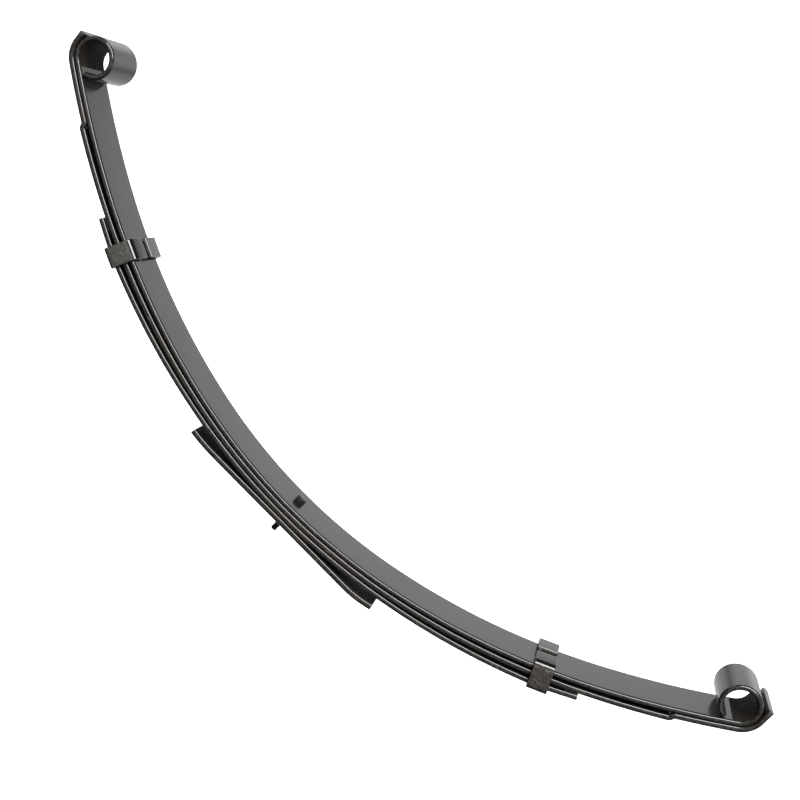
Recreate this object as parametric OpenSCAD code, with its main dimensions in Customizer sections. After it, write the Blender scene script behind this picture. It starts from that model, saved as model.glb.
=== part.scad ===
// Four-leaf lift leaf spring with up-turned eyes, military wraps and two rebound clips.
// X runs along the spring, Y across the leaves, Z up. The origin is under the middle of
// the arch, in the flat underside of the overload leaf. Front is -X and rear is +X.

/* [Leaf stock] */
// Width of every leaf
leaf_w = 63.5; // [50:0.5:76]
// Thickness of the main leaf
main_t = 6.35; // [5:0.05:7.5]
// Thickness of the second leaf
second_t = 7.15; // [5:0.05:7.5]
// Thickness of the third leaf
third_t = 7.15; // [5:0.05:7.5]
// Thickness of the overload leaf
overload_t = 7.95; // [6:0.05:10]
// Radius of the rolled edges of the leaf stock
edge_r = 2.6; // [0.5:0.1:3]

/* [Arch] */
// Radius of the main leaf's top face in the middle
middle_r = 704; // [690:1:730]
// Angle of that middle arc, on each side of the centre bolt
middle_a = 12.18; // [11.5:0.01:12.5]
// Radius of the top face along the arms
arm_r = 883; // [840:1:940]
// Angle of the arm arc
arm_a = 18.1; // [17:0.1:19]
// Radius of the top face just before the eye
end_r = 1140; // [1000:10:1400]
// Angle of the end arc
end_a = 8.15; // [7:0.05:9]
// Angle by which the second leaf is flatter than the main leaf
second_spread = 0.55; // [0.3:0.01:0.7]
// Angle by which the third leaf is flatter than the main leaf
third_spread = 1.29; // [1:0.01:1.5]

/* [Eyes and wraps] */
// Bore of each spring eye
eye_d = 38.1; // [34:0.1:42]
// Gap between the rolled end of the eye and the leaf it comes back to
eye_gap = 0.7; // [0.3:0.1:2]
// Distance along the main leaf from the centre bolt to the joggle of the second leaf
joggle_s = 519; // [505:1:530]
// Radius inside the two bends of the step
joggle_r = 1.6; // [0.8:0.1:4]
// Clearance between the main leaf and the wrap
wrap_gap = 0.2; // [0.1:0.05:0.6]
// Angle of the front wrap round its eye
front_wrap_a = 51; // [40:1:60]
// Straight length at the end of the front wrap
front_wrap_l = 13; // [5:1:24]
// Angle of the rear wrap round its eye
rear_wrap_a = 57; // [40:1:60]
// Straight length at the end of the rear wrap
rear_wrap_l = 18; // [5:1:24]

/* [Third leaf end] */
// Distance along the spring where the third leaf starts to turn up
turn_s = 358; // [350:1:364]
// Length of the turned-up bend
turn_l = 25; // [20:1:30]
// Angle of the turned-up bend, beyond the arch of the main leaf
turn_a = 3.2; // [2.6:0.1:3.4]
// Distance along the spring from the centre bolt to the third leaf's tip
third_s = 419; // [412:1:426]
// Length of the anti-friction pad at each tip of the third leaf
pad_l = 17; // [10:1:24]
// Clearance over the pad
pad_gap = 0.15; // [0.1:0.05:0.4]

/* [Overload leaf] */
// Half length of the overload leaf
overload_half = 152.5; // [140:0.5:160]
// Half length of its flat middle
overload_flat = 112.5; // [100:0.5:125]
// Radius of its front end, turned up
overload_front_r = 260; // [200:5:400]
// Radius of its rear end, turned up
overload_rear_r = 130; // [120:5:400]

/* [Centre bolt] */
// Diameter of the centre bolt's shank
bolt_d = 7.9; // [7:0.1:9]
// Diameter of the hole for it in each leaf
bolt_hole_d = 8.7; // [8.2:0.1:10]
// How far behind the middle of the arch the centre bolt stands
bolt_x = 5.5; // [0:0.5:10]
// Diameter of its locating head
bolt_head_d = 13.2; // [11:0.1:16]
// Height of its locating head
bolt_head_h = 6.4; // [4:0.1:9]
// Length of thread below the overload leaf
bolt_tail = 23; // [15:0.5:30]
// Width of the nut across its flats
nut_af = 12.7; // [12:0.1:14]
// Height of the nut
nut_h = 6.7; // [5:0.1:8]

/* [Rebound clips] */
// Distance along the main leaf from the centre bolt to the middle of each clip
clip_s = 365.5; // [360:0.5:368]
// Width of the clip strap
clip_w = 25.4; // [20:0.1:30]
// Thickness of the clip strap
clip_t = 4.2; // [3:0.1:5]
// Inside radius of the clip's bends
clip_r = 4.4; // [3:0.1:4.4]
// Side clearance between the clip and the leaves
clip_side = 1.8; // [1.8:0.1:2.5]
// Gap between the two bent-over tabs
clip_mouth = 11; // [6:1:24]
// Diameter of the clip rivet's shank
rivet_d = 7.9; // [6:0.1:9]
// Diameter of the clip rivet's heads
rivet_head_d = 15; // [12:0.5:18]
// Height of the rivet's lower head
rivet_head_h = 3.4; // [2:0.1:5]
// Height of the rivet's flat upper head
rivet_top_h = 1.6; // [1:0.1:2]

/* [Flex axis] */
// Slot between the clamped middle and the flexing arm
flex_slot = 1; // [0.6:0.1:1.5]

/* [Hidden] */

// Each leaf is [height of its top face over the bolt axis, [[radius, angle], ...]]
third_drop = main_t + second_t;
top_z = third_drop + third_t + overload_t;
eye_r = eye_d / 2;
MAIN = level(0, 0);
SECOND = level(main_t, second_spread);
WRAP = level(main_t + wrap_gap, 0);
LEVEL_THIRD = level(third_drop, third_spread);
third_arm_r = LEVEL_THIRD[1][1][0];
turn_sweep = turn_a + deg(turn_l / third_arm_r);
THIRD = [LEVEL_THIRD[0], [
    LEVEL_THIRD[1][0],
    [third_arm_r, deg((turn_s - arc_len(LEVEL_THIRD[1][0])) / third_arm_r)],
    [turn_l / rad(turn_sweep), turn_sweep],
    [third_arm_r, arm_a]]];

// Where the eye starts, and the angle that its roll turns through before it closes
EYE = pose_end(MAIN);
eye_sweep = 360 - acos((eye_r - eye_gap) / (eye_r + main_t));

// The second leaf's step: one bend up and one back down, both of radius joggle_r inside
LOW = pose_at(SECOND, joggle_s);
joggle_mid_r = joggle_r + second_t / 2;
joggle_rise = local_z(LOW, pose_at(WRAP, joggle_s + 2 * joggle_mid_r));
joggle_up = acos(1 - joggle_rise / (2 * joggle_mid_r));
joggle_l = 2 * joggle_mid_r * sin(joggle_up);
joggle_down = joggle_up - pose_at(WRAP, joggle_s + joggle_l)[2] + LOW[2];
RISING = turned(LOW, joggle_r, joggle_up);
HIGH = turned(RISING, -joggle_r - second_t, -joggle_down);
wrap_r = eye_r + main_t + wrap_gap;

// The clip stands on the third leaf, so its height is measured from there
clip_third_s = clip_s * (1 + third_drop / arm_r);
CLIP = pose_at(THIRD, clip_third_s);
clip_stack = local_z(CLIP, pose_at(MAIN, clip_s)) + third_t;
tab_clear = 3.6;
clip_half = leaf_w / 2 + clip_side;

// Small clearance under a flat head on a curved leaf
head_clear = 0.15;
bolt_chamfer = 0.8;
head_edge = 0.9;
nut_chamfer = 0.9;
rivet_hole_d = rivet_d + 0.4;
// Neighbouring bends of one leaf stop this far short of each other, and a core joins them
hairline = 0.02;
core_l = 1;
// Segments in a full turn
$fn = 360;

function deg(a) = a * 180 / PI;
function rad(a) = a * PI / 180;
function arc_len(arc) = arc[0] * rad(arc[1]);

// A leaf whose top face lies drop below the main leaf's, and which is flatter by spread degrees
function level(drop, spread) = [top_z - drop, [
    [(middle_r + drop) * middle_a / (middle_a - spread), middle_a - spread],
    [arm_r + drop, arm_a],
    [end_r + drop, end_a]]];

// A pose is [x, z, heading]. This is the pose at the end of one arc
function turned(p, r, a) = [p[0] + r * (sin(p[2] + a) - sin(p[2])),
    p[1] + r * (cos(p[2]) - cos(p[2] + a)), p[2] + a];

function walk(arcs, s, i, p) = let (l = arc_len(arcs[i]))
    s <= l || i == len(arcs) - 1
        ? turned(p, arcs[i][0], deg(s / arcs[i][0]))
        : walk(arcs, s - l, i + 1, turned(p, arcs[i][0], arcs[i][1]));

// Pose on a leaf's top face, s along it from the centre bolt
function pose_at(leaf, s) = walk(leaf[1], s, 0, [0, leaf[0], 0]);

// Distance along a leaf to the start of arc i
function start_of(leaf, i) = i == 0 ? 0 : start_of(leaf, i - 1) + arc_len(leaf[1][i - 1]);

function pose_end(leaf) = pose_at(leaf, start_of(leaf, len(leaf[1])));

// A point square to the leaf, up from a pose
function above(p, up) = [p[0] - up * sin(p[2]), p[1] + up * cos(p[2])];

// How far pose q stands above pose p, square to p
function local_z(p, q) = (q[1] - p[1]) * cos(p[2]) - (q[0] - p[0]) * sin(p[2]);

// Distance along a leaf, between lo and hi, to the point square above pose p
function foot(leaf, p, lo, hi, n) = let (mid = (lo + hi) / 2, q = pose_at(leaf, mid),
    ahead = (q[0] - p[0]) * cos(p[2]) + (q[1] - p[1]) * sin(p[2]))
    n == 0 ? mid : ahead > 0 ? foot(leaf, p, lo, mid, n - 1) : foot(leaf, p, mid, hi, n - 1);

module at(p) {
    translate([p[0], 0, p[1]]) rotate([0, -p[2], 0]) children();
}

// Extrudes an XY outline along Y, so that its own Y stands up
module across(w) {
    rotate([90, 0, 0]) translate([0, 0, -w / 2]) linear_extrude(w) children();
}

// Extrudes a YZ outline along X
module lengthwise(l) {
    rotate([90, 0, 90]) translate([0, 0, -l / 2]) linear_extrude(l) children();
}

module rounded_box(w, h, r) {
    square([w, h - 2 * r], center = true);
    square([w - 2 * r, h], center = true);
    for (x = [-1, 1], y = [-1, 1])
        translate([x * (w / 2 - r), y * (h / 2 - r)]) circle(r);
}

// Section of the leaf stock, thickness along X, with its rolled edges
module stock(t) {
    rounded_box(t, leaf_w, edge_r);
}

// A bent length of stock: its top face starts at the origin and heads along +X
module bent_bar(r, a, t) {
    translate([0, 0, r]) rotate([90, 0, 0]) rotate([0, 0, -90])
        rotate_extrude(angle = a - deg(hairline / (r + t / 2))) translate([r + t / 2, 0]) stock(t);
}

// A bent length that turns down instead of up, with r on its underside
module dropped_bar(r, a, t) {
    translate([0, 0, -t]) mirror([0, 0, 1]) bent_bar(r, a, t);
}

// The core inside the stock where two bends meet
module core(p, t) {
    at(p) translate([0, 0, -t / 2]) cube([core_l, leaf_w / 2, t / 2], center = true);
}

module straight_bar(l, t) {
    translate([l / 2, 0, -t / 2]) lengthwise(l) rotate(90) stock(t);
}

// The stretch of a leaf from s0 to s1
module stretch(leaf, s0, s1, t) {
    for (i = [0:len(leaf[1]) - 1]) {
        a = max(s0, start_of(leaf, i));
        b = min(s1, start_of(leaf, i + 1));
        if (b > a) {
            at(pose_at(leaf, a)) bent_bar(leaf[1][i][0], deg((b - a) / leaf[1][i][0]), t);
            if (a > s0) core(pose_at(leaf, a), t);
        }
    }
}

// The clamped middle of a leaf, with the hole for the centre bolt
module leaf_center(leaf, t) {
    r = leaf[1][0][0];
    a = leaf[1][0][1] - deg(flex_slot / 2 / r);
    difference() {
        translate([0, 0, leaf[0] + r]) rotate([90, 0, 0]) rotate([0, 0, -90 - a])
            rotate_extrude(angle = 2 * a) translate([r + t / 2, 0]) stock(t);
        translate([bolt_x, 0, -overload_t]) cylinder(d = bolt_hole_d, h = 2 * top_z);
    }
}

// Where a leaf's outer stretch starts, beyond the flex slot
function arm_s(leaf) = arc_len(leaf[1][0]) + flex_slot / 2;

module rear_end() {
    children();
}

module front_end() {
    mirror([1, 0, 0]) children();
}

module main_arm() {
    stretch(MAIN, arm_s(MAIN), start_of(MAIN, len(MAIN[1])), main_t);
    core(EYE, main_t);
    at(EYE) bent_bar(eye_r, eye_sweep, main_t);
}

// The second leaf steps up against the main leaf, then wraps round the outside of the eye
module second_arm(wrap_a, wrap_l) {
    wrap_start = pose_end(WRAP);
    wrap_end = turned(wrap_start, wrap_r, wrap_a);
    stretch(SECOND, arm_s(SECOND), joggle_s, second_t);
    at(LOW) bent_bar(joggle_r, joggle_up, second_t);
    at(RISING) dropped_bar(joggle_r, joggle_down, second_t);
    stretch(WRAP, foot(WRAP, HIGH, joggle_s, joggle_s + 2 * joggle_l, 20),
        start_of(WRAP, len(WRAP[1])), second_t);
    at(wrap_start) bent_bar(wrap_r, wrap_a, second_t);
    at(wrap_end) straight_bar(wrap_l, second_t);
    for (p = [LOW, RISING, HIGH, wrap_start, wrap_end]) core(p, second_t);
}

module third_arm() {
    difference() {
        stretch(THIRD, arm_s(THIRD), third_s, third_t);
        at(CLIP) translate([0, 0, -2 * third_t]) cylinder(d = rivet_hole_d, h = 3 * third_t);
    }
}

// Pad on the third leaf's tip, which the second leaf slides on
module tip_pad() {
    inner = pose_at(THIRD, third_s - pad_l);
    outer = pose_at(THIRD, third_s);
    rise_in = pad_rise(inner);
    rise_out = pad_rise(outer);
    across(leaf_w - 2 * edge_r)
        polygon([above(inner, 0), above(outer, 0), above(outer, rise_out), above(inner, rise_in)]);
}

// Height from a pose on the third leaf to the underside of the second leaf
function pad_rise(p) =
    local_z(p, pose_at(SECOND, foot(SECOND, p, third_s - 2 * pad_l, third_s + pad_l, 20)))
    - second_t - pad_gap;

// U-shaped strap, riveted under the third leaf, with its tabs bent over the main leaf
module clip() {
    inner_h = clip_stack + tab_clear;
    at(CLIP) difference() {
        translate([0, 0, inner_h / 2 - third_t]) lengthwise(clip_w) difference() {
            rounded_box(2 * (clip_half + clip_t), inner_h + 2 * clip_t, clip_r + clip_t);
            rounded_box(2 * clip_half, inner_h, clip_r);
            translate([-clip_mouth / 2, 0]) square([clip_mouth, inner_h]);
        }
        translate([0, 0, -third_t - 2 * clip_t]) cylinder(d = rivet_hole_d, h = 3 * clip_t);
    }
}

// Rivet through the third leaf and the clip, flat on top and domed underneath
module clip_rivet() {
    dome_r = (pow(rivet_head_d / 2, 2) + pow(rivet_head_h, 2)) / (2 * rivet_head_h);
    under = third_t + clip_t;
    at(CLIP) {
        translate([0, 0, head_clear]) cylinder(d = rivet_head_d, h = rivet_top_h);
        translate([0, 0, -under]) cylinder(d = rivet_d, h = under + head_clear);
        translate([0, 0, -under]) intersection() {
            translate([0, 0, dome_r - rivet_head_h]) sphere(dome_r);
            translate([0, 0, -rivet_head_h]) cylinder(d = rivet_head_d, h = rivet_head_h);
        }
    }
}

module main_leaf_center() { color("dimgray") leaf_center(MAIN, main_t); }

module second_leaf_center() { color("dimgray") leaf_center(SECOND, second_t); }

module third_leaf_center() { color("dimgray") leaf_center(THIRD, third_t); }

// Flat leaf with both ends turned up
module overload_leaf() {
    curl_l = overload_half - overload_flat;
    color("dimgray") translate([bolt_x, 0, 0]) difference() {
        translate([0, 0, overload_t]) {
            translate([-overload_flat, 0, 0]) straight_bar(2 * overload_flat, overload_t);
            translate([overload_flat, 0, 0])
                bent_bar(overload_rear_r, deg(curl_l / overload_rear_r), overload_t);
            mirror([1, 0, 0]) translate([overload_flat, 0, 0])
                bent_bar(overload_front_r, deg(curl_l / overload_front_r), overload_t);
        }
        translate([0, 0, -overload_t]) cylinder(d = bolt_hole_d, h = 3 * overload_t);
    }
}

// Round locating head on top, plain shank and chamfered end below
module center_bolt() {
    color("black") translate([bolt_x, 0, 0]) {
        translate([0, 0, top_z + head_clear]) {
            cylinder(d = bolt_head_d, h = bolt_head_h - head_edge);
            translate([0, 0, bolt_head_h - head_edge])
                cylinder(d1 = bolt_head_d, d2 = bolt_head_d - 2 * head_edge, h = head_edge);
        }
        translate([0, 0, bolt_chamfer - bolt_tail])
            cylinder(d = bolt_d, h = bolt_tail - bolt_chamfer + top_z + head_clear);
        translate([0, 0, -bolt_tail])
            cylinder(d1 = bolt_d - 2 * bolt_chamfer, d2 = bolt_d, h = bolt_chamfer);
    }
}

// Hexagon nut with both ends chamfered
module center_nut() {
    across_corners = nut_af / cos(30);
    color("black") translate([bolt_x, 0, -nut_h]) difference() {
        intersection() {
            cylinder(d = across_corners, h = nut_h, $fn = 6);
            union() {
                cylinder(d1 = across_corners - 2 * nut_chamfer, d2 = across_corners, h = nut_chamfer / 2);
                translate([0, 0, nut_chamfer / 2]) cylinder(d = across_corners, h = nut_h - nut_chamfer / 2);
            }
        }
        translate([0, 0, -nut_h]) cylinder(d = bolt_d, h = 3 * nut_h);
    }
}

module main_leaf_front() { color("dimgray") front_end() main_arm(); }

module main_leaf_rear() { color("dimgray") rear_end() main_arm(); }

module second_leaf_front() { color("dimgray") front_end() second_arm(front_wrap_a, front_wrap_l); }

module second_leaf_rear() { color("dimgray") rear_end() second_arm(rear_wrap_a, rear_wrap_l); }

module third_leaf_front() { color("dimgray") front_end() third_arm(); }

module third_leaf_rear() { color("dimgray") rear_end() third_arm(); }

module clip_front() { color("darkslategray") front_end() clip(); }

module clip_rear() { color("darkslategray") rear_end() clip(); }

module clip_rivet_front() { color("gray") front_end() clip_rivet(); }

module clip_rivet_rear() { color("gray") rear_end() clip_rivet(); }

module tip_pad_front() { color("black") front_end() tip_pad(); }

module tip_pad_rear() { color("black") rear_end() tip_pad(); }

main_leaf_center();
second_leaf_center();
third_leaf_center();
overload_leaf();
center_bolt();
center_nut();
main_leaf_front();
second_leaf_front();
third_leaf_front();
clip_front();
clip_rivet_front();
tip_pad_front();
main_leaf_rear();
second_leaf_rear();
third_leaf_rear();
clip_rear();
clip_rivet_rear();
tip_pad_rear();
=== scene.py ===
from math import acos, ceil, cos, hypot, pi, radians, sin

import bmesh
import bpy
from mathutils import Matrix, Vector


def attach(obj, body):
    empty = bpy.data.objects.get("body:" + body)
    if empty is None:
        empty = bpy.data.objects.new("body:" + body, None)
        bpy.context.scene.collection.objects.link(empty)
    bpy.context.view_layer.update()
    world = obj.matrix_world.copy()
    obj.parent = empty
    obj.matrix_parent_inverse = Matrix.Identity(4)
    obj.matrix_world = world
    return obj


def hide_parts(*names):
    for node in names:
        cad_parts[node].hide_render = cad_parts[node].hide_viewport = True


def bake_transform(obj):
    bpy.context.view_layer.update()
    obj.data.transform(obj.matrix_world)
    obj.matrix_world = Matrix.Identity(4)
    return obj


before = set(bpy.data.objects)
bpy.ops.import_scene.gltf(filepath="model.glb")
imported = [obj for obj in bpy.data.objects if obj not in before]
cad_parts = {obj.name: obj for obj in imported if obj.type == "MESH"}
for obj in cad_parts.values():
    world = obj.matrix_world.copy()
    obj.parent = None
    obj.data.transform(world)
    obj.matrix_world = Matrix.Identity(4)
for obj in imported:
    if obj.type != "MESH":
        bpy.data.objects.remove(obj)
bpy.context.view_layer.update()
MM = 0.001

# ---------------------------------------------------------------- sizes, in mm, as in the CAD part
# Only EDGE_R differs: the leaves' edges are rolled a little rounder here.
LEAF_W = 63.5
MAIN_T, SECOND_T, THIRD_T = 6.35, 7.15, 7.15
OVERLOAD_T = 7.95
EDGE_R = 2.9
MIDDLE = (704.0, radians(12.18))
ARM = (883.0, radians(18.1))
END = (1140.0, radians(8.15))
SECOND_SPREAD = radians(0.55)
THIRD_SPREAD = radians(1.29)
EYE_R = 19.05
EYE_GAP = 0.7
JOGGLE_S = 519.0
JOGGLE_R = 1.6
WRAP_GAP = 0.2
WRAPS = {"front": (radians(51), 13.0), "rear": (radians(57), 18.0)}
TURN_S, TURN_L, TURN_A = 358.0, 25.0, radians(3.2)
THIRD_S = 419.0
OVERLOAD_HALF, OVERLOAD_FLAT = 152.5, 112.5
OVERLOAD_R = {"front": 260.0, "rear": 130.0}
BOLT_X = 5.5
BOLT_D, BOLT_HOLE_D = 7.9, 8.7
BOLT_HEAD_D, BOLT_HEAD_H = 13.2, 6.4
BOLT_TAIL = 23.0
HEAD_CLEAR = 0.15
NUT_H = 6.7
CLIP_S = 365.5
CLIP_W, CLIP_T, CLIP_R = 25.4, 4.2, 4.4
CLIP_SIDE, CLIP_MOUTH = 1.8, 11.0
TAB_CLEAR = 3.6
THIRD_DROP = MAIN_T + SECOND_T
TOP_Z = THIRD_DROP + THIRD_T + OVERLOAD_T


# ---------------------------------------------------------------- paths along the leaves
# A pose is (x, z, heading) on a leaf's top face, in mm and radians.
def turned(p, r, a):
    """The pose after an arc of radius r through angle a."""
    x, z, h = p
    return x + r * (sin(h + a) - sin(h)), z + r * (cos(h) - cos(h + a)), h + a


def level(drop, spread):
    """Height and arcs of a leaf that lies drop below the main leaf, opened by spread at its middle."""
    r, a = MIDDLE
    return (TOP_Z - drop, [((r + drop) * a / (a - spread), a - spread),
                           (ARM[0] + drop, ARM[1]), (END[0] + drop, END[1])])


def length(leaf):
    """How long a leaf's arcs are together, from the middle of the arch."""
    return sum(r * a for r, a in leaf[1])


def pose_at(leaf, s):
    """The pose s along a leaf from the middle of the arch."""
    p = (0.0, leaf[0], 0.0)
    arcs = leaf[1]
    for i, (r, a) in enumerate(arcs):
        if s <= r * a or i == len(arcs) - 1:
            return turned(p, r, s / r)
        p = turned(p, r, a)
        s -= r * a


def above(p, up):
    """The point that stands up off a pose, along its normal."""
    return p[0] - up * sin(p[2]), p[1] + up * cos(p[2])


def local_z(p, q):
    """How far q stands off p, along p's normal."""
    return (q[1] - p[1]) * cos(p[2]) - (q[0] - p[0]) * sin(p[2])


def foot(leaf, p, lo, hi):
    """How far along a leaf, between lo and hi, it passes p's normal."""
    for _ in range(30):
        mid = (lo + hi) / 2
        q = pose_at(leaf, mid)
        if (q[0] - p[0]) * cos(p[2]) + (q[1] - p[1]) * sin(p[2]) > 0:
            hi = mid
        else:
            lo = mid
    return mid


def stretch(leaf, s0, s1, step):
    """Poses along a leaf from s0 to s1, no more than step apart."""
    n = max(1, ceil((s1 - s0) / step))
    return [pose_at(leaf, s0 + (s1 - s0) * i / n) for i in range(n + 1)]


def bend(p, r, a, steps):
    """Poses along an arc that starts at p, without p itself."""
    return [turned(p, r, a * i / steps) for i in range(1, steps + 1)]


MAIN = level(0, 0)
SECOND = level(MAIN_T, SECOND_SPREAD)
WRAP = level(MAIN_T + WRAP_GAP, 0)
THIRD_LEVEL = level(THIRD_DROP, THIRD_SPREAD)
third_r = THIRD_LEVEL[1][1][0]
turn_sweep = TURN_A + TURN_L / third_r
THIRD = (THIRD_LEVEL[0], [THIRD_LEVEL[1][0],
                          (third_r, (TURN_S - THIRD_LEVEL[1][0][0] * THIRD_LEVEL[1][0][1]) / third_r),
                          (TURN_L / turn_sweep, turn_sweep), (third_r, ARM[1])])
EYE = pose_at(MAIN, length(MAIN))
eye_sweep = 2 * pi - acos((EYE_R - EYE_GAP) / (EYE_R + MAIN_T))
CLIP = pose_at(THIRD, CLIP_S * (1 + THIRD_DROP / ARM[0]))
clip_stack = local_z(CLIP, pose_at(MAIN, CLIP_S)) + THIRD_T
STEP = 6.0


def main_path():
    return stretch(MAIN, 0, length(MAIN), STEP) + bend(EYE, EYE_R, eye_sweep, 84)


def second_path(end):
    wrap_a, wrap_l = WRAPS[end]
    wrap_r = EYE_R + MAIN_T + WRAP_GAP
    low = pose_at(SECOND, JOGGLE_S)
    mid_r = JOGGLE_R + SECOND_T / 2
    rise = local_z(low, pose_at(WRAP, JOGGLE_S + 2 * mid_r))
    up = acos(1 - rise / (2 * mid_r))
    run = 2 * mid_r * sin(up)
    down = up - pose_at(WRAP, JOGGLE_S + run)[2] + low[2]
    path = stretch(SECOND, 0, JOGGLE_S, STEP) + bend(low, JOGGLE_R, up, 8)
    path += bend(path[-1], -JOGGLE_R - SECOND_T, -down, 8)
    start = foot(WRAP, path[-1], JOGGLE_S, JOGGLE_S + 2 * run)
    path += stretch(WRAP, start + 1, length(WRAP), STEP)
    path += bend(path[-1], wrap_r, wrap_a, 22)
    x, z, h = path[-1]
    path += [(x + d * cos(h), z + d * sin(h), h) for d in (wrap_l / 2, wrap_l)]
    return path


def third_path():
    return stretch(THIRD, 0, THIRD_S, STEP)


def overload_path(end):
    r = OVERLOAD_R[end]
    start = (OVERLOAD_FLAT, OVERLOAD_T, 0.0)
    return [(x * OVERLOAD_FLAT / 12, OVERLOAD_T, 0.0) for x in range(13)] \
        + bend(start, r, (OVERLOAD_HALF - OVERLOAD_FLAT) / r, 12)


# ---------------------------------------------------------------- mesh helpers
def finish_mesh(name, bm, sharp=35):
    """An object of bm's mesh, smooth except at edges steeper than sharp degrees."""
    bmesh.ops.recalc_face_normals(bm, faces=bm.faces)
    me = bpy.data.meshes.new(name)
    bm.to_mesh(me)
    bm.free()
    me.shade_smooth()
    me.set_sharp_from_angle(angle=radians(sharp))
    ob = bpy.data.objects.new(name, me)
    bpy.context.scene.collection.objects.link(ob)
    return ob


def rounded_ring(w, t, r, k):
    """Points (y, depth) round a bar's section, w wide and t thick, with rolled edges of radius r."""
    pts = []
    right, left = w / 2 - r, -w / 2 + r
    for cy, cz, a0 in ((right, r, 0), (left, r, 90), (left, t - r, 180), (right, t - r, 270)):
        for i in range(k + 1):
            a = radians(a0 + 90 * i / k)
            pts.append((cy + r * cos(a), cz - r * sin(a)))
        if a0 == 0:
            pts += [(w / 2 * f, 0) for f in (0.86, 0.45, 0, -0.45, -0.86)]
        if a0 == 180:
            pts += [(w / 2 * f, t) for f in (-0.86, -0.45, 0, 0.45, 0.86)]
    return pts


def sweep(name, path, w, t, r, bevel=0.5, k=7, mirror=False, bevel_start=False):
    """A closed strip with rolled edges whose top face follows the path of (x, z, heading)."""
    bm = bmesh.new()
    ring = rounded_ring(w, t, r, k)
    rows = []

    def add_row(p, inset):
        row = []
        for y, d in ring:
            iy = y * (1 - 2 * inset / w)
            idp = inset + d * (1 - 2 * inset / t)
            x, z = above(p, -idp)
            row.append(bm.verts.new(((-x if mirror else x) * MM, iy * MM, z * MM)))
        rows.append(row)

    def back(p, q, d):
        """A pose d before q on the line from p."""
        l = hypot(q[0] - p[0], q[1] - p[1])
        f = 1 - d / l
        return p[0] + (q[0] - p[0]) * f, p[1] + (q[1] - p[1]) * f, p[2] + (q[2] - p[2]) * f

    if bevel_start:
        add_row(path[0], bevel)
        add_row(back(path[1], path[0], bevel * 0.4), bevel * 0.35)
        add_row(back(path[1], path[0], bevel), 0)
    else:
        add_row(path[0], 0)
    for p in path[1:-1]:
        add_row(p, 0)
    add_row(back(path[-2], path[-1], bevel), 0)
    add_row(back(path[-2], path[-1], bevel * 0.4), bevel * 0.35)
    add_row(path[-1], bevel)
    n = len(ring)
    for a, b in zip(rows, rows[1:]):
        for i in range(n):
            j = (i + 1) % n
            bm.faces.new((a[i], a[j], b[j], b[i]))
    bm.faces.new(rows[0])
    bm.faces.new(rows[-1])
    return finish_mesh(name, bm)


def lathe(name, profile, n=64):
    """A closed solid of revolution about Z from (radius, z) points, in mm, both ends on the axis."""
    bm = bmesh.new()
    rows = []
    for r, z in profile:
        if r < 1e-6:
            rows.append([bm.verts.new((0, 0, z * MM))])
        else:
            rows.append([bm.verts.new((r * cos(2 * pi * i / n) * MM, r * sin(2 * pi * i / n) * MM, z * MM))
                         for i in range(n)])
    for a, b in zip(rows, rows[1:]):
        for i in range(n):
            j = (i + 1) % n
            if len(a) == 1:
                bm.faces.new((a[0], b[i], b[j]))
            elif len(b) == 1:
                bm.faces.new((a[i], b[0], a[j]))
            else:
                bm.faces.new((a[i], b[i], b[j], a[j]))
    return finish_mesh(name, bm, 40)


def cut(ob, cutter):
    """Takes cutter out of ob, as a finished mesh."""
    m = ob.modifiers.new("cut", "BOOLEAN")
    m.operation = "DIFFERENCE"
    m.solver = "EXACT"
    m.object = cutter
    deps = bpy.context.evaluated_depsgraph_get()
    me = bpy.data.meshes.new_from_object(ob.evaluated_get(deps))
    me.name = ob.name
    old = ob.data
    ob.modifiers.clear()
    ob.data = me
    bpy.data.meshes.remove(old)
    me.shade_smooth()
    me.set_sharp_from_angle(angle=radians(35))


# ---------------------------------------------------------------- materials
def new_material(name):
    """A material with one Principled shader and nothing else."""
    m = bpy.data.materials.new(name)
    m.use_nodes = True
    nt = m.node_tree
    nt.nodes.clear()
    out = nt.nodes.new("ShaderNodeOutputMaterial")
    bsdf = nt.nodes.new("ShaderNodeBsdfPrincipled")
    nt.links.new(bsdf.outputs[0], out.inputs[0])
    return m, nt, bsdf


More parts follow.
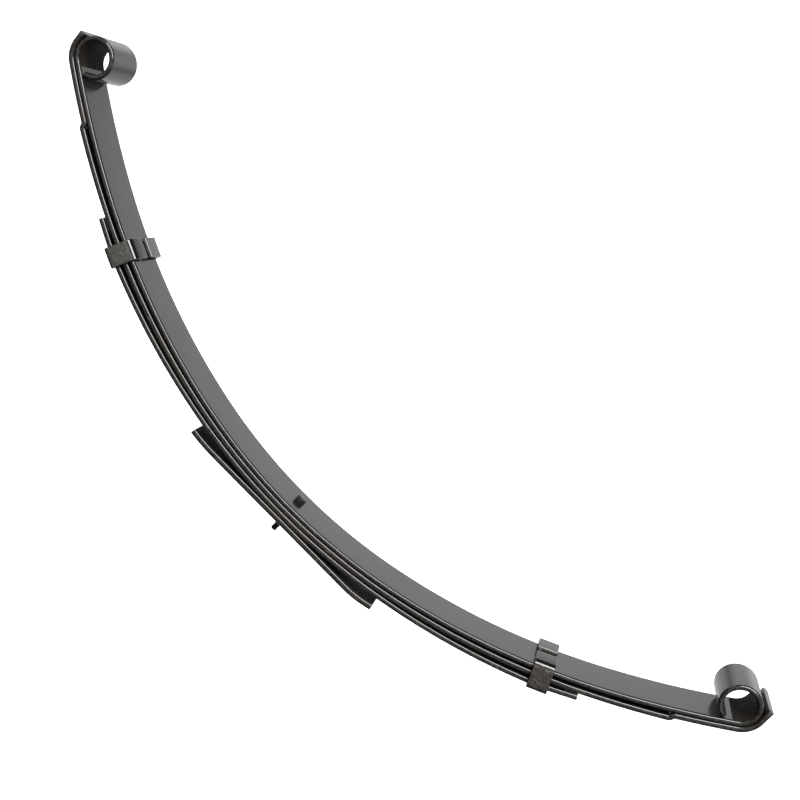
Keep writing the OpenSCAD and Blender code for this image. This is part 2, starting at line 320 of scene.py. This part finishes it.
class Nodes:
    """Short names for the nodes that the materials use."""

    def __init__(self, nt):
        self.nt = nt
        self.co = nt.nodes.new("ShaderNodeTexCoord").outputs["Object"]
        self.normal = nt.nodes.new("ShaderNodeNewGeometry").outputs["Normal"]

    def mapped(self, scale):
        m = self.nt.nodes.new("ShaderNodeMapping")
        m.inputs["Scale"].default_value = scale
        self.nt.links.new(self.co, m.inputs["Vector"])
        return m.outputs[0]

    def noise(self, scale, detail, rough, vector=None):
        n = self.nt.nodes.new("ShaderNodeTexNoise")
        n.inputs["Scale"].default_value = scale
        n.inputs["Detail"].default_value = detail
        n.inputs["Roughness"].default_value = rough
        self.nt.links.new(vector or self.co, n.inputs["Vector"])
        return n.outputs["Fac"]

    def ramp(self, fac, *stops):
        r = self.nt.nodes.new("ShaderNodeValToRGB")
        el = r.color_ramp.elements
        while len(el) < len(stops):
            el.new(0.5)
        for e, (pos, col) in zip(el, stops):
            e.position = pos
            e.color = (*col, 1) if isinstance(col, tuple) else (col, col, col, 1)
        self.nt.links.new(fac, r.inputs[0])
        return r.outputs[0]

    def math(self, op, a, b=None):
        m = self.nt.nodes.new("ShaderNodeMath")
        m.operation = op
        for i, v in enumerate((a, b)):
            if v is None:
                continue
            if isinstance(v, (int, float)):
                m.inputs[i].default_value = v
            else:
                self.nt.links.new(v, m.inputs[i])
        return m.outputs[0]

    def mix(self, fac, a, b):
        m = self.nt.nodes.new("ShaderNodeMix")
        m.data_type = "RGBA"
        self.nt.links.new(fac, m.inputs["Factor"])
        for socket, v in (("A", a), ("B", b)):
            s = [i for i in m.inputs if i.name == socket and i.type == "RGBA"][0]
            if isinstance(v, tuple):
                s.default_value = (*v, 1)
            else:
                self.nt.links.new(v, s)
        return [o for o in m.outputs if o.type == "RGBA"][0]

    def mix_value(self, fac, a, b):
        m = self.nt.nodes.new("ShaderNodeMix")
        m.data_type = "FLOAT"
        self.nt.links.new(fac, m.inputs["Factor"])
        for socket, v in (("A", a), ("B", b)):
            s = [i for i in m.inputs if i.name == socket and i.type == "VALUE"][0]
            if isinstance(v, (int, float)):
                s.default_value = v
            else:
                self.nt.links.new(v, s)
        return [o for o in m.outputs if o.type == "VALUE"][0]

    def side_mask(self):
        """1 on faces that look along Y, which are the leaves' cut edges, 0 on their flats."""
        sep = self.nt.nodes.new("ShaderNodeSeparateXYZ")
        self.nt.links.new(self.normal, sep.inputs[0])
        return self.ramp(self.math("ABSOLUTE", sep.outputs["Y"]), (0.86, 0.0), (0.97, 1.0))

    def bump(self, height, strength, distance, normal=None):
        b = self.nt.nodes.new("ShaderNodeBump")
        b.inputs["Strength"].default_value = strength
        b.inputs["Distance"].default_value = distance
        self.nt.links.new(height, b.inputs["Height"])
        if normal is not None:
            self.nt.links.new(normal, b.inputs["Normal"])
        return b.outputs[0]


def paint(name, dark, light, side, side_light, rough, side_rough, bare, bare_amount,
          peel=0.10, side_bump=0.45):
    """Black paint on hot-rolled spring steel: glossy on the flats, thin and scaly on the rolled edges. The
    front clip's lighter side colours are a painted reflection.
    """
    m, nt, bsdf = new_material(name)
    n = Nodes(nt)
    mask = n.side_mask()
    cloud = n.noise(11.0, 3.0, 0.55)
    grain = n.noise(420.0, 4.0, 0.7)
    scale = n.noise(700.0, 5.0, 0.7)
    streak = n.noise(1.0, 4.0, 0.6, n.mapped((60, 900, 900)))
    flat = n.mix(n.ramp(cloud, (0.38, 0.0), (0.62, 1.0)), dark, light)
    edge = n.mix(n.ramp(grain, (0.38, 0.0), (0.66, 1.0)), side, side_light)
    colour = n.mix(mask, flat, edge)
    worn = n.math("MULTIPLY", mask, n.ramp(streak, (bare_amount, 0.0), (bare_amount + 0.05, 1.0)))
    colour = n.mix(worn, colour, bare)
    nt.links.new(colour, bsdf.inputs["Base Color"])
    flat_rough = n.mix_value(n.ramp(cloud, (0.3, 0.0), (0.7, 1.0)), rough, rough + 0.07)
    side_r = n.mix_value(n.ramp(grain, (0.3, 0.0), (0.7, 1.0)), side_rough, side_rough + 0.18)
    nt.links.new(n.mix_value(mask, flat_rough, side_r), bsdf.inputs["Roughness"])
    fine = n.bump(n.noise(420.0, 2.0, 0.5), peel, 0.0004)
    pits = n.math("MULTIPLY", mask, n.math("ADD", scale, grain))
    nt.links.new(n.bump(pits, side_bump, 0.0006, fine), bsdf.inputs["Normal"])
    bsdf.inputs["Metallic"].default_value = 0.0
    bsdf.inputs["IOR"].default_value = 1.5
    return m


LEAF_PAINT = paint("leaf_paint", (0.0030, 0.0042, 0.0038), (0.0085, 0.0070, 0.0058),
                   (0.0020, 0.0015, 0.0012), (0.030, 0.024, 0.020), 0.15, 0.34, (0.20, 0.17, 0.14), 0.67)
# The two clips are one kind of part. The front clip's lighter greenish side colours are a painted
# reflection of the sheen on its flat legs; the rear clip keeps the dark paint colours.
CLIP_PAINT_AND_SHEEN = {
    "front": paint("clip_paint_front_painted_sheen", (0.003, 0.004, 0.0035), (0.012, 0.014, 0.012), (0.024, 0.029, 0.025),
                   (0.075, 0.077, 0.066), 0.12, 0.30, (0.30, 0.16, 0.11), 0.63, 0.1, 0.25),
    "rear": paint("clip_paint_rear", (0.003, 0.0028, 0.0025), (0.011, 0.010, 0.008), (0.008, 0.006, 0.005),
                  (0.055, 0.045, 0.034), 0.14, 0.42, (0.26, 0.23, 0.19), 0.62, 0.15, 0.8),
}


def plain(name, dark, light, rough, spread, noise_scale, bump, shine=0.5):
    """One dark finish, a little uneven in colour and gloss."""
    m, nt, bsdf = new_material(name)
    n = Nodes(nt)
    cloud = n.noise(noise_scale, 4.0, 0.6)
    nt.links.new(n.mix(n.ramp(cloud, (0.35, 0.0), (0.7, 1.0)), dark, light), bsdf.inputs["Base Color"])
    roughness = n.mix_value(n.ramp(cloud, (0.3, 0.0), (0.75, 1.0)), rough, rough + spread)
    nt.links.new(roughness, bsdf.inputs["Roughness"])
    nt.links.new(n.bump(n.noise(noise_scale * 4, 3.0, 0.6), bump, 0.0003), bsdf.inputs["Normal"])
    bsdf.inputs["Specular IOR Level"].default_value = shine
    return m


BOLT_BLACK = plain("bolt_black", (0.006, 0.006, 0.0065), (0.016, 0.015, 0.014), 0.16, 0.12, 220.0, 0.12)
RIVET_PAINT = plain("rivet_paint", (0.012, 0.012, 0.012), (0.04, 0.036, 0.03), 0.3, 0.2, 300.0, 0.3)
BORE_SCALE = plain("bore_scale", (0.0025, 0.0020, 0.0016), (0.016, 0.011, 0.008), 0.62, 0.2, 160.0, 0.35,
                   shine=0.12)
PAD_PLASTIC = plain("pad_plastic", (0.006, 0.006, 0.006), (0.014, 0.014, 0.014), 0.5, 0.2, 500.0, 0.25)


def give(ob, material):
    """Puts one material all over a piece."""
    ob.data.materials.clear()
    ob.data.materials.append(material)


def scale_the_bore(ob, sign):
    """Gives the inside of the eye, where the paint is thin, the rough brown of bare mill scale."""
    x, z, h = EYE
    centre = Vector((sign * (x - EYE_R * sin(h)) * MM, (z + EYE_R * cos(h)) * MM))
    ob.data.materials.append(BORE_SCALE)
    for face in ob.data.polygons:
        if (Vector((face.center.x, face.center.z)) - centre).length < (EYE_R + 0.4) * MM:
            face.material_index = 1


# ---------------------------------------------------------------- leaves
# Each long leaf is drawn in two halves that meet in the middle of the arch.
THICK = {"main": MAIN_T, "second": SECOND_T, "third": THIRD_T}
hole = lathe("hole_cutter", [(0, -20), (BOLT_HOLE_D / 2, -20), (BOLT_HOLE_D / 2, 60), (0, 60)])
hole.data.transform(Matrix.Translation((BOLT_X * MM, 0, 0)))
for end in ("front", "rear"):
    mirror = end == "front"
    sign = -1 if mirror else 1
    for leaf, path, nodes in (("main", main_path(), ("main_leaf_" + end, "main_leaf_center")),
                              ("second", second_path(end), ("second_leaf_" + end, "second_leaf_center")),
                              ("third", third_path(), ("third_leaf_" + end, "third_leaf_center"))):
        ob = sweep(f"{leaf}_leaf_{end}_half", path, LEAF_W, THICK[leaf], EDGE_R, mirror=mirror)
        cut(ob, hole)
        give(ob, LEAF_PAINT)
        if leaf == "main":
            scale_the_bore(ob, sign)
        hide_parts(*nodes)
        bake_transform(ob)

front_side = [(-x, z, -h) for x, z, h in reversed(overload_path("front"))]
both_sides = [(x + BOLT_X, z, h) for x, z, h in front_side + overload_path("rear")[1:]]
overload = sweep("overload_leaf_bar", both_sides, LEAF_W, OVERLOAD_T, EDGE_R, bevel_start=True)
cut(overload, hole)
give(overload, LEAF_PAINT)
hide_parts("overload_leaf")
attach(overload, "seat")
bpy.data.objects.remove(hole)


# ---------------------------------------------------------------- centre bolt
def bolt():
    """Round head with a rolled rim, shank and threaded tail with a rounded point."""
    n, pitch, depth = 48, 1.27, 0.62
    top = TOP_Z + HEAD_CLEAR
    bm = bmesh.new()
    rows = []

    def row(fn):
        pts = [fn(2 * pi * i / n) for i in range(n)]
        rows.append([bm.verts.new(((x + BOLT_X) * MM, y * MM, z * MM)) for x, y, z in pts])

    def ring(r, z):
        row(lambda a: (r * cos(a), r * sin(a), z))

    head_r = BOLT_HEAD_D / 2
    for r, z in ((head_r - 2.4, BOLT_HEAD_H), (head_r - 0.9, BOLT_HEAD_H - 0.05),
                 (head_r - 0.35, BOLT_HEAD_H - 0.3), (head_r - 0.08, BOLT_HEAD_H - 0.75),
                 (head_r, BOLT_HEAD_H - 1.3), (head_r, 0.35),
                 (head_r - 0.25, 0.0), (BOLT_D / 2, 0.0), (BOLT_D / 2 - 0.05, -1.0)):
        ring(r, top + z)
    ring(BOLT_D / 2 - 0.05, -NUT_H + 0.6)
    start, stop = -NUT_H + 0.5, -BOLT_TAIL + 0.8
    steps = int((start - stop) / pitch * 8)
    for k in range(steps + 1):
        z = start + (stop - start) * k / steps
        fade = min(1.0, k / 6, (steps - k) / 6)

        def thread(a, z=z, fade=fade):
            f = (z / pitch + a / (2 * pi)) % 1
            r = BOLT_D / 2 - 0.05 - depth * fade * (1 - abs(2 * f - 1))
            return r * cos(a), r * sin(a), z
        row(thread)
    ring(BOLT_D / 2 - 0.5, -BOLT_TAIL + 0.45)
    ring(BOLT_D / 2 - 1.3, -BOLT_TAIL)
    for a, b in zip(rows, rows[1:]):
        for i in range(n):
            j = (i + 1) % n
            bm.faces.new((a[i], b[i], b[j], a[j]))
    bm.faces.new(rows[0])
    bm.faces.new(rows[-1])
    return finish_mesh("center_bolt_threaded", bm, 32)


bolt_piece = bolt()
give(bolt_piece, BOLT_BLACK)
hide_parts("center_bolt")
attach(bolt_piece, "seat")


# ---------------------------------------------------------------- rebound clips
CLIP_EDGE_R = 0.9


def clip(end):
    """Strap bent up from under the third leaf, with its two tabs folded over the main leaf."""
    half = LEAF_W / 2 + CLIP_SIDE
    inner_h = clip_stack + TAB_CLEAR
    mid_r = CLIP_R + CLIP_T / 2
    w = half + CLIP_T / 2
    lo, hi = -THIRD_T - CLIP_T / 2, -THIRD_T + inner_h + CLIP_T / 2
    path = []

    def corner(cy, cz, a0, a1, n=9):
        for i in range(n + 1):
            a = radians(a0 + (a1 - a0) * i / n)
            path.append((cy + mid_r * cos(a), cz + mid_r * sin(a), a))

    path.append((CLIP_MOUTH / 2, hi, radians(90)))
    corner(w - mid_r, hi - mid_r, 90, 0)
    corner(w - mid_r, lo + mid_r, 0, -90)
    corner(-w + mid_r, lo + mid_r, -90, -180)
    corner(-w + mid_r, hi - mid_r, -180, -270)
    path.append((-CLIP_MOUTH / 2, hi, radians(-270)))
    ring = rounded_ring(CLIP_W, CLIP_T, CLIP_EDGE_R, 4)
    bm = bmesh.new()
    rows = []
    for k, (y, z, a) in enumerate(path):
        last = k in (0, len(path) - 1)
        for inset, along in (((0.5, 0.0), (0.0, 0.5)) if last else ((0.0, 0.0),)):
            # along moves the ring in from the strap's cut end, towards its own leg
            shift = along if k == 0 else -along
            py, pz = (y + shift, z)
            row = []
            for u, d in ring:
                off = (CLIP_T / 2 - d) * (1 - 2 * inset / CLIP_T)
                row.append(bm.verts.new((u * (1 - 2 * inset / CLIP_W),
                                         py + off * cos(a) if not last else py,
                                         pz + off * sin(a) if not last else pz + off)))
            if last and k > 0 and inset:
                held = row
                continue
            rows.append(row)
            if last and k > 0:
                rows.append(held)
    n = len(ring)
    for a, b in zip(rows, rows[1:]):
        for i in range(n):
            j = (i + 1) % n
            bm.faces.new((a[i], a[j], b[j], b[i]))
    bm.faces.new(rows[0])
    bm.faces.new(rows[-1])
    x, z, h = CLIP
    flip = -1 if end == "front" else 1
    for v in bm.verts:
        u, y, d = v.co
        v.co = (flip * (x + u * cos(h) - d * sin(h)) * MM, y * MM, (z + u * sin(h) + d * cos(h)) * MM)
    return finish_mesh("clip_strap_" + end, bm)


for end in ("front", "rear"):
    piece = clip(end)
    give(piece, CLIP_PAINT_AND_SHEEN[end])
    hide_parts("clip_" + end)
    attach(piece, end + "_arm")


# ---------------------------------------------------------------- CAD nodes that keep their shape
def keep_shape(node, material):
    """Gives a CAD node a better material and leaves its solid as it is."""
    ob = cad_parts[node]
    for i in range(len(ob.material_slots)):
        ob.material_slots[i].material = material


keep_shape("center_nut", BOLT_BLACK)
for end in ("front", "rear"):
    keep_shape("clip_rivet_" + end, RIVET_PAINT)
    keep_shape("tip_pad_" + end, PAD_PLASTIC)


# ---------------------------------------------------------------- camera
cam_data = bpy.data.cameras.new("camera")
cam_data.lens = 47.25
cam_data.sensor_width = 36
cam_data.clip_end = 50
camera = bpy.data.objects.new("camera", cam_data)
bpy.context.scene.collection.objects.link(camera)
CAMERA_AT = (0.0384, -1.2044, 0.5571)
azimuth, elevation, roll = radians(-1.56), radians(15.95), radians(44.66)
ahead = Vector((sin(azimuth) * cos(elevation), cos(azimuth) * cos(elevation), -sin(elevation)))
right = Vector((cos(azimuth), -sin(azimuth), 0))
up = right.cross(ahead)
turned_right = right * cos(roll) + up * sin(roll)
turned_up = -right * sin(roll) + up * cos(roll)
camera.matrix_world = Matrix.Translation(CAMERA_AT) @ Matrix(
    (turned_right, turned_up, -ahead)).transposed().to_4x4()
bpy.context.scene.camera = camera

# ---------------------------------------------------------------- light and floor
world = bpy.data.worlds.new("studio")
bpy.context.scene.world = world
world.use_nodes = True
wn = world.node_tree
wn.nodes.clear()
w_out = wn.nodes.new("ShaderNodeOutputWorld")
w_bg = wn.nodes.new("ShaderNodeBackground")
w_co = wn.nodes.new("ShaderNodeTexCoord")
w_sep = wn.nodes.new("ShaderNodeSeparateXYZ")
w_height = wn.nodes.new("ShaderNodeMath")
w_height.operation = "MULTIPLY_ADD"
w_height.inputs[1].default_value = 0.5
w_height.inputs[2].default_value = 0.5
w_ramp = wn.nodes.new("ShaderNodeValToRGB")
stops = w_ramp.color_ramp.elements
stops[0].position, stops[0].color = 0.0, (0.08, 0.08, 0.08, 1)
stops[1].position, stops[1].color = 1.0, (0.04, 0.04, 0.04, 1)
# height of the direction (its sine) against brightness: a pale wall above the horizon, a dim ceiling
for z, v in ((-0.12, 0.10), (0.02, 0.32), (0.14, 0.70), (0.28, 1.0), (0.44, 1.0), (0.54, 0.05)):
    e = stops.new(z / 2 + 0.5)
    e.color = (v, v, v, 1)
wn.links.new(w_co.outputs["Generated"], w_sep.inputs[0])
wn.links.new(w_sep.outputs["Z"], w_height.inputs[0])
wn.links.new(w_height.outputs[0], w_ramp.inputs[0])

# the pale table behind the spring, which the undersides of the eyes reflect
w_behind = wn.nodes.new("ShaderNodeMapRange")
w_below = wn.nodes.new("ShaderNodeMapRange")
for node, start, stop, most in ((w_behind, 0.1, 0.6, 0.62), (w_below, 0.06, -0.14, 1.0)):
    node.inputs["From Min"].default_value = start
    node.inputs["From Max"].default_value = stop
    node.inputs["To Max"].default_value = most
w_table = wn.nodes.new("ShaderNodeMath")
w_table.operation = "MULTIPLY"
w_light = wn.nodes.new("ShaderNodeMath")
wn.links.new(w_sep.outputs["Y"], w_behind.inputs["Value"])
wn.links.new(w_sep.outputs["Z"], w_below.inputs["Value"])
wn.links.new(w_behind.outputs[0], w_table.inputs[0])
wn.links.new(w_below.outputs[0], w_table.inputs[1])
wn.links.new(w_ramp.outputs[0], w_light.inputs[0])
wn.links.new(w_table.outputs[0], w_light.inputs[1])
wn.links.new(w_light.outputs[0], w_bg.inputs[0])
wn.links.new(w_bg.outputs[0], w_out.inputs[0])
w_bg.inputs["Strength"].default_value = 1.45


def softbox(name, centre, target, size_x, size_y, power):
    """A rectangular light that faces its target."""
    light = bpy.data.lights.new(name, "AREA")
    light.shape = "RECTANGLE"
    light.size, light.size_y = size_x, size_y
    light.energy = power
    ob = bpy.data.objects.new(name, light)
    ob.location = centre
    ob.rotation_euler = (Vector(target) - Vector(centre)).to_track_quat("-Z", "Y").to_euler()
    bpy.context.scene.collection.objects.link(ob)


softbox("key", (0.0, -1.5, 2.7), (0, 0, 0.1), 3.2, 1.3, 260)

bpy.context.scene.view_settings.view_transform = "Standard"
bpy.context.scene.view_settings.look = "None"

FLOOR_Z = -0.42
# A white table and a white backdrop that glow evenly, so that no shadow falls on them.
# Only the camera sees them: they don't light the spring, and it doesn't reflect them.
white, _, white_bsdf = new_material("backdrop_white")
white_bsdf.inputs["Base Color"].default_value = (0.9, 0.9, 0.9, 1)
white_bsdf.inputs["Emission Color"].default_value = (1, 1, 1, 1)
white_bsdf.inputs["Emission Strength"].default_value = 1.0
white_bsdf.inputs["Specular IOR Level"].default_value = 0.0
bm = bmesh.new()
bmesh.ops.create_grid(bm, x_segments=8, y_segments=8, size=12)
floor = finish_mesh("floor", bm)
floor.location.z = FLOOR_Z
bm = bmesh.new()
bmesh.ops.create_uvsphere(bm, u_segments=48, v_segments=24, radius=14)
backdrop = finish_mesh("backdrop", bm)
for ob in (floor, backdrop):
    ob.data.materials.append(white)
    ob.visible_diffuse = ob.visible_glossy = ob.visible_transmission = ob.visible_shadow = False
